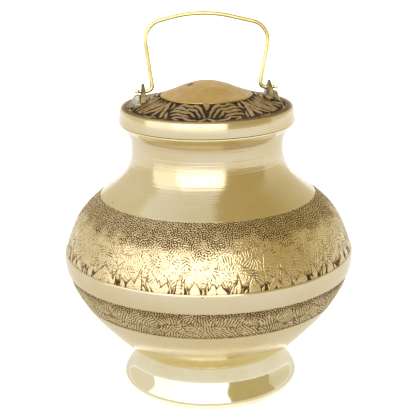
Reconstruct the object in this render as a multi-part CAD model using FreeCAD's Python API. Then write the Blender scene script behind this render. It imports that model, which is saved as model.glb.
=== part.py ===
import FreeCAD, Part
import math
import os
from FreeCAD import Vector

# Lidded brass water pot on a ring foot, with a screw lid and a wire bail.
# Millimetres. +Z is up, the origin is the centre of the ring that the pot stands on,
# and the bail's hinge runs along X.

# ---- driving dimensions ----
WALL = 1.8                  # cast wall of the pot
SEAM_Z = 64.1               # lower edge of the belly band, where the two halves meet
BAND_TOP_Z = 74.3           # upper edge of the belly band
BELLY_R = 75.0              # widest radius of the belly band
BELLY_Z = 69.7              # and its height
BAND_FOOT_R = BELLY_R - 1.0
BAND_TOP_R = BELLY_R - 0.2
BAND_STEP = 0.6             # the belly band stands this far proud of the engraved bands
LAP_R = 72.4                # radius of the lap joint behind the belly band
LAP_HEIGHT = 5.5            # how far the lower half's rim reaches up into the upper half
LAP_SHOULDER = 1.2          # full thickness left above the lap before the wall thins
LAP_BLEND = 4.0             # height below the seam over which the bowl's inside runs into the rim

FOOT_TOP_R = 41.2           # crease between the bowl and the foot
FOOT_TOP_Z = 20.9
FOOT_BULGE_R = 46.1         # widest radius of the foot
FOOT_BULGE_Z = 3.6
FOOT_WAIST_R = 40.9         # narrowest radius of the foot
FOOT_REST_R = 44.2          # outer edge of the ring that touches the table
FOOT_INNER_R = 40.8         # inner edge of that ring
FOOT_SOCKET_R = 38.1        # inside of the foot where it meets the bowl
FOOT_SOCKET_Z = 12.0        # below this the inside of the foot widens
FOOT_LIP_Z = 4.0            # and from here down it is straight again
BOWL_BOTTOM_Z = 13.0        # lowest point of the bowl, inside the foot

NECK_TOP_Z = 137.6          # top of the neck, where the collar sits on it
NECK_TOP_R = 42.0
NECK_BORE_R = 36.9
NECK_BORE_Z = 122.0         # the neck's inside is a straight bore above this height

COLLAR_R = 44.3             # outer edge of the collar's bevel
COLLAR_LEDGE_Z = 140.5      # ledge that the lid's skirt comes down to
COLLAR_TOP_Z = 145.3
COLLAR_BORE_R = 34.9
COLLAR_SPIGOT_DROP = 5.5    # locating spigot inside the neck
COLLAR_LAND = 0.6           # short upright edge above the bevel
COLLAR_CHAMFER = 0.4

THREAD_PITCH = 3.0
THREAD_ROOT_R = 40.5        # outside of the collar's spigot, between its thread ridges
THREAD_WALL_R = 42.0        # inside of the lid's skirt, between its thread ridges
THREAD_DEPTH = 1.15
THREAD_TURNS = 0.95
THREAD_BASE_WIDTH = 1.2
THREAD_CREST_WIDTH = 0.6
THREAD_SINK = 0.2           # how far a ridge's base runs into its wall

LID_SKIRT_Z = 140.8         # lower edge of the lid
LID_SKIRT_R = 44.85
LID_EDGE_Z = 148.3          # upper outer edge of the lid
LID_EDGE_R = 43.9
LID_ROOF_Z = 147.0          # flat ceiling inside the lid, above the washer
LID_ROOF_R = 34.6           # inner edge of that ceiling
LID_ROOF_BLEND = 2.0        # width over which the dome's underside runs into the ceiling
LID_CHAMFER = 0.35
DOME_R = 23.4               # where the plain dome meets the engraved ring
DOME_FOOT_Z = 154.0
DOME_TOP_Z = 160.8
LID_THICKNESS = 2.0

WASHER_INNER_R = 36.4
WASHER_OUTER_R = 40.4
WASHER_THICKNESS = 1.3
WASHER_Z = 145.5

HINGE_Z = 156.5             # axis of the bail's ends
LUG_X = 32.0                # middle of each lug
LUG_BASE_Z = 148.0          # the lugs are cut to the lid's surface, above this height
LUG_TIP_Z = 160.2
LUG_BASE_WIDTH = 8.4        # across the pot
LEFT_LUG_THICKNESS = (4.0, 1.2)     # along the hinge, at the base height and at the tip
RIGHT_LUG_THICKNESS = (7.4, 0.9)    # the right lug spreads more at its foot
LUG_REACH = 8.0             # half-length of the blanks and drills that make a lug
LUG_WAIST_WIDTH = 5.8       # across the pot, at the hole
LUG_TIP_WIDTH = 2.6
LUG_POINT = 0.5             # height over which the tip closes to its point
LUG_HOLE_R = 1.1

WIRE_R = 1.0                # bail wire
BAIL_END_X = 34.6           # where the round wire ends, outside each lug
BAIL_FOOT_X = 27.0          # corner of the bail's foot, inside each lug
BAIL_FOOT_BEND = 2.6
BAIL_LEFT_CORNER = (-31.2, 189.4)   # top corners of the bent wire, before rounding
BAIL_RIGHT_CORNER = (32.9, 187.8)
BAIL_CORNER_BEND = 10.0
BAIL_CROWN = (-2.6, 196.5)  # meeting point of the two halves of the crown, before rounding
BAIL_CROWN_BEND = 63.0
TAIL_LENGTH = 2.2           # flattened end outside each lug
TAIL_WIDTH = 3.0
TAIL_THICKNESS = 1.2
TAIL_OVERLAP = 0.3          # how far the flattened end runs back into the round wire

SOLDER_BASE_Z = 147.5       # the fillets are cut to the lid's surface, above this height
SOLDER_TOP_Z = 155.2
SOLDER_WAIST_R = 1.6        # radius left at the top of a fillet
SOLDER_SAG = 0.42           # height, as a share, where the concave side is halfway in
SOLDER_PULL = 0.05          # how much further in it is drawn there, as a share of the foot's radius
SOLDER_SCRAP_Z = 149.5      # solder centred below this lies inside the lid and is dropped
SOLDER_BAIL_GAP = 1.5       # clear space round the bail's wire
LEFT_SOLDER_R = 7.6         # the left fillet is the larger one and runs outward
LEFT_SOLDER_SHIFT = 2.6
RIGHT_SOLDER_R = 4.4
RIGHT_SOLDER_SHIFT = 2.6

INNER_SAMPLES = 16          # points taken along an outline to place the surface behind it
ORIGIN = Vector(0, 0, 0)
AXIS_UP = Vector(0, 0, 1)


# ---- outlines: every point is (radius, height) ----
BOWL_OUTLINE = [
    (0.0, BOWL_BOTTOM_Z),
    (20.0, 14.1),
    (33.0, 17.2),
    (FOOT_TOP_R, FOOT_TOP_Z),
    (49.0, 27.9),
    (56.6, 36.0),
    (64.1, 45.0),
    (70.2, 55.0),
    (BAND_FOOT_R - BAND_STEP, SEAM_Z),
]
SHOULDER_OUTLINE = [
    (BAND_TOP_R - BAND_STEP, BAND_TOP_Z),
    (72.7, 80.0),
    (70.7, 85.0),
    (68.3, 90.0),
    (64.7, 95.0),
    (59.5, 100.0),
    (53.3, 105.0),
    (47.1, 110.0),
    (42.3, 115.0),
    (39.7, 120.0),
    (38.7, 127.0),
    (39.4, 133.0),
    (NECK_TOP_R, NECK_TOP_Z),
]
FOOT_OUTLINE = [
    (FOOT_REST_R, 0.0),
    (FOOT_BULGE_R, FOOT_BULGE_Z),
    (43.9, 8.0),
    (41.7, 11.6),
    (FOOT_WAIST_R, 15.5),
    (FOOT_TOP_R, FOOT_TOP_Z),
]
LID_OUTLINE = [
    (LID_EDGE_R - LID_CHAMFER, LID_EDGE_Z),
    (37.6, 149.4),
    (30.3, 151.5),
    (DOME_R, DOME_FOOT_Z),
    (17.5, 156.2),
    (12.5, 158.3),
    (6.3, 160.2),
    (0.0, DOME_TOP_Z),
]


def at(radius, height):
    return Vector(radius, 0, height)


def line(start, end):
    return Part.LineSegment(at(*start), at(*end)).toShape()


def spline(points, start_tangent=None, end_tangent=None):
    """Smooth curve through (radius, height) points, with its end directions where they are given."""
    curve = Part.BSplineCurve()
    vectors = [at(*p) for p in points]
    if start_tangent and end_tangent:
        curve.interpolate(Points=vectors, InitialTangent=at(*start_tangent), FinalTangent=at(*end_tangent))
    else:
        curve.interpolate(vectors)
    return curve


def offset_points(curve, distance, samples=INNER_SAMPLES):
    """Points beside a curve, to the left of its direction when distance is positive."""
    first, last = curve.FirstParameter, curve.LastParameter
    points = []
    for i in range(samples):
        parameter = first + (last - first) * i / (samples - 1)
        point = curve.value(parameter)
        tangent = curve.tangent(parameter)[0]
        points.append((point.x - tangent.z * distance, point.z + tangent.x * distance))
    return points


def parameter_at_radius(curve, radius):
    """Where a curve whose radius only grows reaches a radius."""
    low, high = curve.FirstParameter, curve.LastParameter
    for _ in range(50):
        middle = (low + high) / 2
        if curve.value(middle).x < radius:
            low = middle
        else:
            high = middle
    return middle


def revolve(edges):
    """Closed outline in the XZ half-plane, turned once about the pot's axis."""
    wire = Part.Wire(Part.__sortEdges__(edges))
    solid = Part.Face(wire).revolve(ORIGIN, AXIS_UP, 360)
    return Part.Solid(solid) if solid.ShapeType != "Solid" else solid


def polygon_edges(points):
    return [line(a, b) for a, b in zip(points, points[1:])]


def bowl_curve():
    """Outside of the bowl, flat at the axis."""
    return spline(BOWL_OUTLINE, (1, 0), (0.22, 1))


def make_vessel_lower():
    """Bowl with a stepped rim that slips inside the belly band."""
    outer = bowl_curve()
    inner_points = [(0.0, BOWL_BOTTOM_Z + WALL)]
    inner_points += [p for p in offset_points(outer, WALL)[1:] if p[1] < SEAM_Z - LAP_BLEND]
    inner = spline(inner_points)
    rim_inner_r = LAP_R - WALL
    rim = polygon_edges([
        BOWL_OUTLINE[-1],
        (LAP_R, SEAM_Z),
        (LAP_R, SEAM_Z + LAP_HEIGHT),
        (rim_inner_r, SEAM_Z + LAP_HEIGHT),
        (rim_inner_r, SEAM_Z),
        inner_points[-1],
    ])
    axis_edge = line((0.0, BOWL_BOTTOM_Z + WALL), (0.0, BOWL_BOTTOM_Z))
    return revolve([outer.toShape(), inner.toShape(), axis_edge] + rim)


def make_vessel_upper():
    """Belly band, shoulder and neck."""
    shoulder = spline(SHOULDER_OUTLINE)
    band = Part.Arc(at(BAND_FOOT_R, SEAM_Z), at(BELLY_R, BELLY_Z), at(BAND_TOP_R, BAND_TOP_Z))
    seat_r = LAP_R - WALL
    seat_top = (seat_r, SEAM_Z + LAP_HEIGHT + LAP_SHOULDER)
    bore_start = (NECK_BORE_R, NECK_BORE_Z)
    wall_points = [p for p in offset_points(shoulder, WALL)[1:] if p[1] < NECK_BORE_Z - LAP_BLEND]
    inner = spline([seat_top] + wall_points + [bore_start])
    edges = [
        band.toShape(),
        line((BAND_TOP_R, BAND_TOP_Z), SHOULDER_OUTLINE[0]),
        shoulder.toShape(),
        inner.toShape(),
    ]
    edges += polygon_edges([
        (NECK_TOP_R, NECK_TOP_Z),
        (NECK_BORE_R, NECK_TOP_Z),
        bore_start,
    ])
    edges += polygon_edges([
        seat_top,
        (seat_r, SEAM_Z + LAP_HEIGHT),
        (LAP_R, SEAM_Z + LAP_HEIGHT),
        (LAP_R, SEAM_Z),
        (BAND_FOOT_R, SEAM_Z),
    ])
    return revolve(edges)


def make_foot_ring():
    """Flared ring whose top follows the underside of the bowl."""
    outer = spline(FOOT_OUTLINE)
    bowl = bowl_curve()
    socket = parameter_at_radius(bowl, FOOT_SOCKET_R)
    crease = parameter_at_radius(bowl, FOOT_TOP_R)
    inside = polygon_edges([
        (FOOT_SOCKET_R, bowl.value(socket).z),
        (FOOT_SOCKET_R, FOOT_SOCKET_Z),
        (FOOT_INNER_R, FOOT_LIP_Z),
        (FOOT_INNER_R, 0.0),
        (FOOT_REST_R, 0.0),
    ])
    return revolve([outer.toShape(), bowl.toShape(socket, crease)] + inside)


def largest_solid(shape):
    return max(shape.Solids, key=lambda solid: solid.Volume)


def thread_ridge(base_r, crest_r, middle_z):
    """One raised helical ridge, right-hand, with its base sunk a little into the wall."""
    sink = math.copysign(THREAD_SINK, crest_r - base_r)
    rise = THREAD_PITCH * THREAD_TURNS
    start_z = middle_z - rise / 2
    helix = Part.makeHelix(THREAD_PITCH, rise, base_r)
    half_base = THREAD_BASE_WIDTH / 2
    half_crest = THREAD_CREST_WIDTH / 2
    section = Part.makePolygon([
        at(base_r - sink, -half_base),
        at(crest_r, -half_crest),
        at(crest_r, half_crest),
        at(base_r - sink, half_base),
        at(base_r - sink, -half_base),
    ])
    ridge = Part.Wire(helix.Edges).makePipeShell([section], True, True)
    ridge.translate(Vector(0, 0, start_z))
    return ridge


def make_mouth_collar():
    """Bevelled ring with a locating spigot in the neck and a threaded spigot for the lid."""
    outline = [
        (COLLAR_BORE_R, NECK_TOP_Z - COLLAR_SPIGOT_DROP),
        (NECK_BORE_R, NECK_TOP_Z - COLLAR_SPIGOT_DROP),
        (NECK_BORE_R, NECK_TOP_Z),
        (NECK_TOP_R, NECK_TOP_Z),
        (COLLAR_R, COLLAR_LEDGE_Z - COLLAR_LAND),
        (COLLAR_R, COLLAR_LEDGE_Z),
        (THREAD_ROOT_R, COLLAR_LEDGE_Z),
        (THREAD_ROOT_R, COLLAR_TOP_Z - COLLAR_CHAMFER),
        (THREAD_ROOT_R - COLLAR_CHAMFER, COLLAR_TOP_Z),
        (COLLAR_BORE_R + COLLAR_CHAMFER, COLLAR_TOP_Z),
        (COLLAR_BORE_R, COLLAR_TOP_Z - COLLAR_CHAMFER),
        (COLLAR_BORE_R, NECK_TOP_Z - COLLAR_SPIGOT_DROP),
    ]
    ring = revolve(polygon_edges(outline))
    middle_z = (COLLAR_LEDGE_Z + COLLAR_TOP_Z) / 2
    ridge = thread_ridge(THREAD_ROOT_R, THREAD_ROOT_R + THREAD_DEPTH, middle_z)
    return largest_solid(ring.fuse(ridge))


def make_lid():
    """Cap with a domed top, a skirt and an inner thread."""
    top = spline(LID_OUTLINE, (-1, 0.12), (-1, 0))
    roof_end = (LID_ROOF_R, LID_ROOF_Z)
    under_top = (0.0, DOME_TOP_Z - LID_THICKNESS)
    under_points = [p for p in offset_points(top, LID_THICKNESS)[:-1] if p[0] < LID_ROOF_R - LID_ROOF_BLEND]
    under = spline([roof_end] + under_points + [under_top])
    edges = [top.toShape(), under.toShape(), line(under_top, (0.0, DOME_TOP_Z))]
    edges += polygon_edges([
        roof_end,
        (THREAD_WALL_R, LID_ROOF_Z),
        (THREAD_WALL_R, LID_SKIRT_Z + LID_CHAMFER),
        (THREAD_WALL_R + LID_CHAMFER, LID_SKIRT_Z),
        (LID_SKIRT_R - LID_CHAMFER, LID_SKIRT_Z),
        (LID_SKIRT_R, LID_SKIRT_Z + LID_CHAMFER),
        (LID_EDGE_R, LID_EDGE_Z - LID_CHAMFER),
        LID_OUTLINE[0],
    ])
    cap = revolve(edges)
    middle_z = (COLLAR_LEDGE_Z + COLLAR_TOP_Z) / 2 + THREAD_PITCH / 2
    ridge = thread_ridge(THREAD_WALL_R, THREAD_WALL_R - THREAD_DEPTH, middle_z)
    return largest_solid(cap.fuse(ridge))


def make_seal_washer():
    ring = Part.makeCylinder(WASHER_OUTER_R, WASHER_THICKNESS, Vector(0, 0, WASHER_Z))
    return ring.cut(Part.makeCylinder(WASHER_INNER_R, WASHER_THICKNESS, Vector(0, 0, WASHER_Z)))


def prism(points, direction):
    """Closed outline extruded both ways along a direction."""
    face = Part.Face(Part.makePolygon(points + points[:1]))
    face.translate(direction * -0.5)
    return face.extrude(direction)


def make_lug(side, thickness, lid):
    """Pointed ear, tapered both ways, drilled for the bail and cut to the lid's surface."""
    x = side * LUG_X
    base_half, tip_half = thickness[0] / 2, thickness[1] / 2
    half_widths = [
        (LUG_BASE_WIDTH / 2, LUG_BASE_Z),
        (LUG_WAIST_WIDTH / 2, HINGE_Z),
        (LUG_TIP_WIDTH / 2, LUG_TIP_Z - LUG_POINT),
        (LUG_POINT, LUG_TIP_Z),
    ]
    near_edge = [Vector(x, -width, height) for width, height in half_widths]
    far_edge = [Vector(x, width, height) for width, height in reversed(half_widths)]
    arch = prism(near_edge + far_edge, Vector(2 * LUG_REACH, 0, 0))
    taper = prism([
        Vector(x - base_half, 0, LUG_BASE_Z),
        Vector(x + base_half, 0, LUG_BASE_Z),
        Vector(x + tip_half, 0, LUG_TIP_Z),
        Vector(x - tip_half, 0, LUG_TIP_Z),
    ], Vector(0, 2 * LUG_REACH, 0))
    hole = Part.makeCylinder(LUG_HOLE_R, 2 * LUG_REACH, Vector(x - LUG_REACH, 0, HINGE_Z), Vector(1, 0, 0))
    return largest_solid(arch.common(taper).cut(hole).cut(lid))


def make_solder(side, radius, shift, lid, lug):
    """Concave fillet round the foot of a lug, trimmed to the lid and the lug."""
    toe = (radius, SOLDER_BASE_Z)
    waist = (SOLDER_WAIST_R, SOLDER_TOP_Z)
    hollow = at(
        (radius + SOLDER_WAIST_R) / 2 - SOLDER_PULL * radius,
        SOLDER_BASE_Z + SOLDER_SAG * (SOLDER_TOP_Z - SOLDER_BASE_Z),
    )
    edges = polygon_edges([waist, (0.0, SOLDER_TOP_Z), (0.0, SOLDER_BASE_Z), toe])
    edges.append(Part.Arc(at(*toe), hollow, at(*waist)).toShape())
    blob = revolve(edges)
    blob.translate(Vector(side * (LUG_X + shift), 0, 0))
    start = Vector(side * BAIL_FOOT_X, 0, HINGE_Z)
    room_for_bail = Part.makeCylinder(WIRE_R + SOLDER_BAIL_GAP, 2 * LUG_REACH, start, Vector(side, 0, 0))
    rest = blob.cut(lid).cut(lug).cut(room_for_bail)
    above_lid = [solid for solid in rest.Solids if solid.CenterOfMass.z > SOLDER_SCRAP_Z]
    return max(above_lid, key=lambda solid: solid.Volume)


def rounded_path(corners, bends):
    """Straight runs joined by tangent arcs: one bend radius per inner corner."""
    edges = []
    start = corners[0]
    for previous, corner, following, bend in zip(corners, corners[1:], corners[2:], bends):
        back = (previous - corner).normalize()
        ahead = (following - corner).normalize()
        half = back.getAngle(ahead) / 2
        reach = bend / math.tan(half)
        middle = corner + (back + ahead).normalize() * (bend / math.sin(half) - bend)
        arc_start = corner + back * reach
        arc_end = corner + ahead * reach
        edges.append(Part.LineSegment(start, arc_start).toShape())
        edges.append(Part.Arc(arc_start, middle, arc_end).toShape())
        start = arc_end
    edges.append(Part.LineSegment(start, corners[-1]).toShape())
    return Part.Wire(edges)


def make_bail():
    """Bent wire with both ends on the hinge axis, each flattened outside its lug."""
    corners = [
        at(-BAIL_END_X, HINGE_Z),
        at(-BAIL_FOOT_X, HINGE_Z),
        at(*BAIL_LEFT_CORNER),
        at(*BAIL_CROWN),
        at(*BAIL_RIGHT_CORNER),
        at(BAIL_FOOT_X, HINGE_Z),
        at(BAIL_END_X, HINGE_Z),
    ]
    bends = [BAIL_FOOT_BEND, BAIL_CORNER_BEND, BAIL_CROWN_BEND, BAIL_CORNER_BEND, BAIL_FOOT_BEND]
    path = rounded_path(corners, bends)
    section = Part.Wire(Part.makeCircle(WIRE_R, corners[0], Vector(1, 0, 0)))
    bail = path.makePipeShell([section], True, False)
    for side in (-1, 1):
        corner = Vector(-TAIL_LENGTH / 2, -TAIL_WIDTH / 2, -TAIL_THICKNESS / 2)
        tail = Part.makeBox(TAIL_LENGTH, TAIL_WIDTH, TAIL_THICKNESS, corner)
        tail.translate(Vector(side * (BAIL_END_X + TAIL_LENGTH / 2 - TAIL_OVERLAP), 0, HINGE_Z))
        bail = bail.fuse(tail)
    return largest_solid(bail)


def make_pieces():
    lid = make_lid()
    left_lug = make_lug(-1, LEFT_LUG_THICKNESS, lid)
    right_lug = make_lug(1, RIGHT_LUG_THICKNESS, lid)
    return {
        "vessel_lower": make_vessel_lower(),
        "vessel_upper": make_vessel_upper(),
        "foot_ring": make_foot_ring(),
        "mouth_collar": make_mouth_collar(),
        "seal_washer": make_seal_washer(),
        "lid": lid,
        "left_lug": left_lug,
        "right_lug": right_lug,
        "left_solder": make_solder(-1, LEFT_SOLDER_R, LEFT_SOLDER_SHIFT, lid, left_lug),
        "right_solder": make_solder(1, RIGHT_SOLDER_R, RIGHT_SOLDER_SHIFT, lid, right_lug),
        "bail": make_bail(),
    }


os.makedirs("parts", exist_ok=True)
for name, shape in make_pieces().items():
    shape.exportStep(os.path.join("parts", name + ".step"))
    box = shape.BoundBox
    extents = (box.XMin, box.XMax, box.YMin, box.YMax, box.ZMin, box.ZMax)
    state = "valid" if shape.isValid() else "NOT VALID"
    print(name, state, shape.ShapeType, "%.0f mm3" % shape.Volume)
    print("    x %.1f..%.1f y %.1f..%.1f z %.1f..%.1f" % extents)
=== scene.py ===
"""Lidded brass water pot: the looks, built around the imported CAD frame. Metres, +Z up."""
import math

import bpy
import numpy as np
from mathutils import Matrix, Vector
from numpy.random import default_rng


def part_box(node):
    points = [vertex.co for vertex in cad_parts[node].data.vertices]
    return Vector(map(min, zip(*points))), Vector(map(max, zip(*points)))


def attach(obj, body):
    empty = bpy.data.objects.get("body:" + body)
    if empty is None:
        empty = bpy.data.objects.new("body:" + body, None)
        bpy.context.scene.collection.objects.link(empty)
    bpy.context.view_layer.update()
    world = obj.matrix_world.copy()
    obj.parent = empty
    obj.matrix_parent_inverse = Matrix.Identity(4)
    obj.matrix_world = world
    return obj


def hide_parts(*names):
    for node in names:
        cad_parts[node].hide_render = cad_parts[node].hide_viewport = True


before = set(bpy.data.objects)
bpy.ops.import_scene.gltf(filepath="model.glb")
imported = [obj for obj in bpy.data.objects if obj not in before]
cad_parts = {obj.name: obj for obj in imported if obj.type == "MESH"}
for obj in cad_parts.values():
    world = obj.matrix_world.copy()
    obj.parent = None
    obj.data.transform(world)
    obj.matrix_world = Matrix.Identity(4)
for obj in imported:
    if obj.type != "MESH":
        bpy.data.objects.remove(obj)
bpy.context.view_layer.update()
MM = 0.001

# ---- places taken from the frame, and sizes that only the looks need ----
BELLY_BAND_HEIGHT = 10.2 * MM       # plain band round the belly
BAND_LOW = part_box("vessel_upper")[0].z
BAND_HIGH = BAND_LOW + BELLY_BAND_HEIGHT
NECK_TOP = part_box("vessel_upper")[1].z
FOOT_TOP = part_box("foot_ring")[1].z
LID_LOW, LID_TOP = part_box("lid")[0].z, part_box("lid")[1].z
LOWER_BAND_HEIGHT = 15.6 * MM       # engraved band below the belly band
UPPER_BAND_HEIGHT = 29.0 * MM       # engraved band above it
UNDERSIDE_FADE = 28.5 * MM          # height where the bowl's mirror-polished underside starts to turn satin and its deeper yellow, painted reflection of the foot, starts to fade
UNDERSIDE_TOP = 35.5 * MM           # height where it ends
WALL = 1.6 * MM                     # thickness given to each visible shell
ENGRAVED_COLUMNS = 1760
TURNED_COLUMNS = 288
RELIEF_DEPTH = 0.22 * MM
RELIEF_ROW = 0.25 * MM              # height of one row of the engraving's mesh
BELLY_BAND_EASE = 0.25 * MM         # rounding of the belly band's edges
BELLY_BAND_LIP = 1.2 * MM           # how far its flat edges reach inwards
DOME_RADIUS = 23.4 * MM             # where the plain dome meets the lid's ornament
LID_EDGE_DROP = 12.5 * MM           # from the lid's top down to its outer edge
LID_RELIEF_DEPTH = 0.5 * MM
LID_RELIEF_ROW = 0.28 * MM
LID_SHELL = 1.3 * MM                # thickness of the ornament's ring
LID_COLUMNS = 960
LID_BODY_DROP = 0.95 * MM           # how far the lid's body is kept below its visible top
LID_BODY_INSET = 0.45 * MM          # and inside its visible side
MELTED_VOXEL = 0.16 * MM            # detail of the lugs and the solder
WIRE_VOXEL = 0.2 * MM
CAMERA_AZIMUTH = math.radians(-6.5)


# ---- outlines and turned shapes ----
def outline_knots(node, outer=True):
    """(radius, height) points of a turned CAD node's outer or inner side, from the bottom up."""
    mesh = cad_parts[node].data
    co = np.array([v.co for v in mesh.vertices])
    radius, height = np.hypot(co[:, 0], co[:, 1]), co[:, 2]
    edges = np.array([e.vertices[:] for e in mesh.edges])
    low, high = height[edges].min(1), height[edges].max(1)
    pick = max if outer else min
    knots = []
    for level in np.unique(height.round(5)):
        here = np.abs(height - level) < 6e-6
        crossing = (low < level - 3e-6) & (high > level + 3e-6)
        a, b = edges[crossing].T
        share = (level - height[a]) / (height[b] - height[a])
        crossed = radius[a] + share * (radius[b] - radius[a])
        best = pick(radius[here])
        if not len(crossed) or abs(pick(best, pick(crossed)) - best) < 0.06 * MM:
            knots.append((best, level))
    return np.array(knots)


def thin(knots, gap):
    """Drops knots closer together than a gap, keeping both ends."""
    kept = [knots[0]]
    for knot in knots[1:-1]:
        if math.dist(knot, kept[-1]) > gap and math.dist(knot, knots[-1]) > gap:
            kept.append(knot)
    return np.array(kept + [knots[-1]])


def spline_through(knots, count):
    """Evenly spaced points on a natural cubic spline through the knots."""
    chord = np.r_[0, np.cumsum(np.hypot(*np.diff(knots, axis=0).T))]
    n = len(knots)
    gap = np.diff(chord)
    system = np.eye(n)
    right = np.zeros((n, 2))
    for i in range(1, n - 1):
        system[i, i - 1:i + 2] = gap[i - 1], 2 * (gap[i - 1] + gap[i]), gap[i]
        right[i] = 6 * ((knots[i + 1] - knots[i]) / gap[i] - (knots[i] - knots[i - 1]) / gap[i - 1])
    bend = np.linalg.solve(system, right)

    def value(place):
        i = np.clip(np.searchsorted(chord, place) - 1, 0, n - 2)
        h = gap[i][:, None]
        a = ((chord[i + 1] - place)[:, None]) / h
        b = 1 - a
        straight = a * knots[i] + b * knots[i + 1]
        return straight + ((a ** 3 - a) * bend[i] + (b ** 3 - b) * bend[i + 1]) * h * h / 6

    fine = value(np.linspace(0, chord[-1], 2000))
    length = np.r_[0, np.cumsum(np.hypot(*np.diff(fine, axis=0).T))]
    even = np.linspace(0, length[-1], count)
    return np.stack([np.interp(even, length, fine[:, k]) for k in (0, 1)], 1)


def evenly(points, count):
    """The same line with evenly spaced points."""
    length = np.r_[0, np.cumsum(np.hypot(*np.diff(points, axis=0).T))]
    even = np.linspace(0, length[-1], count)
    return np.stack([np.interp(even, length, points[:, k]) for k in (0, 1)], 1)


def faired(knots, gap=0.7 * MM, window=2.4 * MM):
    """A finely sampled outline through the knots with its small unevenness averaged away."""
    fine = evenly(spline_through(thin(knots, gap), 1500), 1500)
    step = math.dist(fine[0], fine[1])
    half = max(1, round(window / step / 2))
    before = 2 * fine[0] - fine[half:0:-1]
    after = 2 * fine[-1] - fine[-2:-half - 2:-1]
    weight = np.hanning(2 * half + 3)[1:-1]
    padded = np.vstack([before, fine, after])
    return np.stack([np.convolve(padded[:, k], weight / weight.sum(), "valid") for k in (0, 1)], 1)


def stretch_of(knots, low, high, count):
    """The part of an outline between two heights, smoothly resampled."""
    fine = faired(knots)
    inside = (fine[:, 1] > low + 1e-6) & (fine[:, 1] < high - 1e-6)
    ends = [np.array([np.interp(z, fine[:, 1], fine[:, 0]), z]) for z in (low, high)]
    return evenly(np.vstack([ends[0], fine[inside], ends[1]]), count)


def outward(profile):
    """Unit normals of a profile that runs upwards with the metal on its left."""
    along = np.gradient(profile, axis=0)
    along /= np.hypot(*along.T)[:, None]
    return np.stack([along[:, 1], -along[:, 0]], 1)


def offset(profile, distance):
    moved = profile + outward(profile) * distance
    moved[:, 0] = np.maximum(moved[:, 0], 0)
    return moved


def turned(name, radius, height, body, slot, replaced=(), poles=False, recess=None, sharp=60):
    """Surface of revolution from arrays of radius and height, one row for each ring."""
    rows, columns = radius.shape
    turn = np.linspace(0, 2 * math.pi, columns, endpoint=False)
    verts = np.stack([radius * np.cos(turn), radius * np.sin(turn), height], 2)
    if poles:
        inner = verts[1:-1].reshape(-1, 3)
        verts = np.vstack([inner, verts[0].mean(0), verts[-1].mean(0)])
        ring_count = rows - 2
    else:
        verts = verts.reshape(-1, 3)
        ring_count = rows
    column = np.arange(columns)
    following = (column + 1) % columns
    bands = ring_count - 1 if poles else ring_count
    quads = np.concatenate([
        np.stack([
            i * columns + column,
            i * columns + following,
            (i + 1) % ring_count * columns + following,
            (i + 1) % ring_count * columns + column,
        ], 1)
        for i in range(bands)
    ])
    loops = quads.reshape(-1)
    sizes = np.full(len(quads), 4)
    if poles:
        first, last = ring_count * columns, ring_count * columns + 1
        top = (ring_count - 1) * columns
        fans = np.concatenate([
            np.stack([np.full(columns, first), following, column], 1),
            np.stack([np.full(columns, last), top + column, top + following], 1),
        ])
        loops = np.concatenate([loops, fans.reshape(-1)])
        sizes = np.concatenate([sizes, np.full(len(fans), 3)])
    mesh = bpy.data.meshes.new(name)
    mesh.vertices.add(len(verts))
    mesh.vertices.foreach_set("co", verts.astype(np.float32).ravel())
    mesh.loops.add(len(loops))
    mesh.loops.foreach_set("vertex_index", loops.astype(np.int32))
    mesh.polygons.add(len(sizes))
    starts = np.r_[0, np.cumsum(sizes)[:-1]]
    mesh.polygons.foreach_set("loop_start", starts.astype(np.int32))
    mesh.update(calc_edges=True)
    mesh.validate()
    if recess is not None:
        layer = mesh.attributes.new("recess", "FLOAT", "POINT")
        layer.data.foreach_set("value", recess.astype(np.float32).ravel())
    return placed(name, mesh, body, slot, replaced, sharp)


def placed(name, mesh, body, slot, replaced=(), sharp=60):
    mesh.shade_smooth()
    mesh.set_sharp_from_angle(angle=math.radians(sharp))
    piece = bpy.data.objects.new(name, mesh)
    bpy.context.scene.collection.objects.link(piece)
    mesh.materials.append(MATERIALS[slot[1]])
    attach(piece, body)
    if replaced:
        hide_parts(*replaced)
    return piece


def round_all(profile, columns):
    """A profile repeated for every column."""
    return np.repeat(profile[:, :1], columns, 1), np.repeat(profile[:, 1:], columns, 1)


def plain_ring(name, profile, body, slot, replaced=(), poles=False):
    radius, height = round_all(profile, TURNED_COLUMNS)
    return turned(name, radius, height, body, slot, replaced, poles)


# ---- relief: heights from 0, deepest, to 1, at the surface; lengths in millimetres ----
def smoothstep(low, high, value):
    t = np.clip((value - low) / (high - low), 0.0, 1.0)
    return t * t * (3 - 2 * t)


def spectrum_of(seed, rows, columns, step):
    waves = np.fft.rfft2(default_rng(seed).standard_normal((rows, columns)))
    fy = np.fft.fftfreq(rows, step)[:, None]
    fx = np.fft.rfftfreq(columns, step)[None, :]
    return waves, fx, fy


def band_noise(seed, rows, columns, step, pitch, spread=0.25, angle=None, cone=0.3):
    """Random waves of one pitch on a periodic grid; with an angle, the lines run that way."""
    waves, fx, fy = spectrum_of(seed, rows, columns, step)
    keep = np.exp(-((np.hypot(fx, fy) * pitch - 1.0) / spread) ** 2)
    if angle is not None:
        across = np.arctan2(fy, fx) - (angle + math.pi / 2)
        turn = np.abs((across + math.pi / 2) % math.pi - math.pi / 2)
        keep = keep * np.exp(-(turn / cone) ** 2)
    noise = np.fft.irfft2(waves * keep, (rows, columns))
    return noise / noise.std()


def soft_noise(seed, rows, columns, step, size):
    waves, fx, fy = spectrum_of(seed, rows, columns, step)
    noise = np.fft.irfft2(waves * np.exp(-((fx ** 2 + fy ** 2) * size ** 2)), (rows, columns))
    return noise / noise.std()


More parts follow.
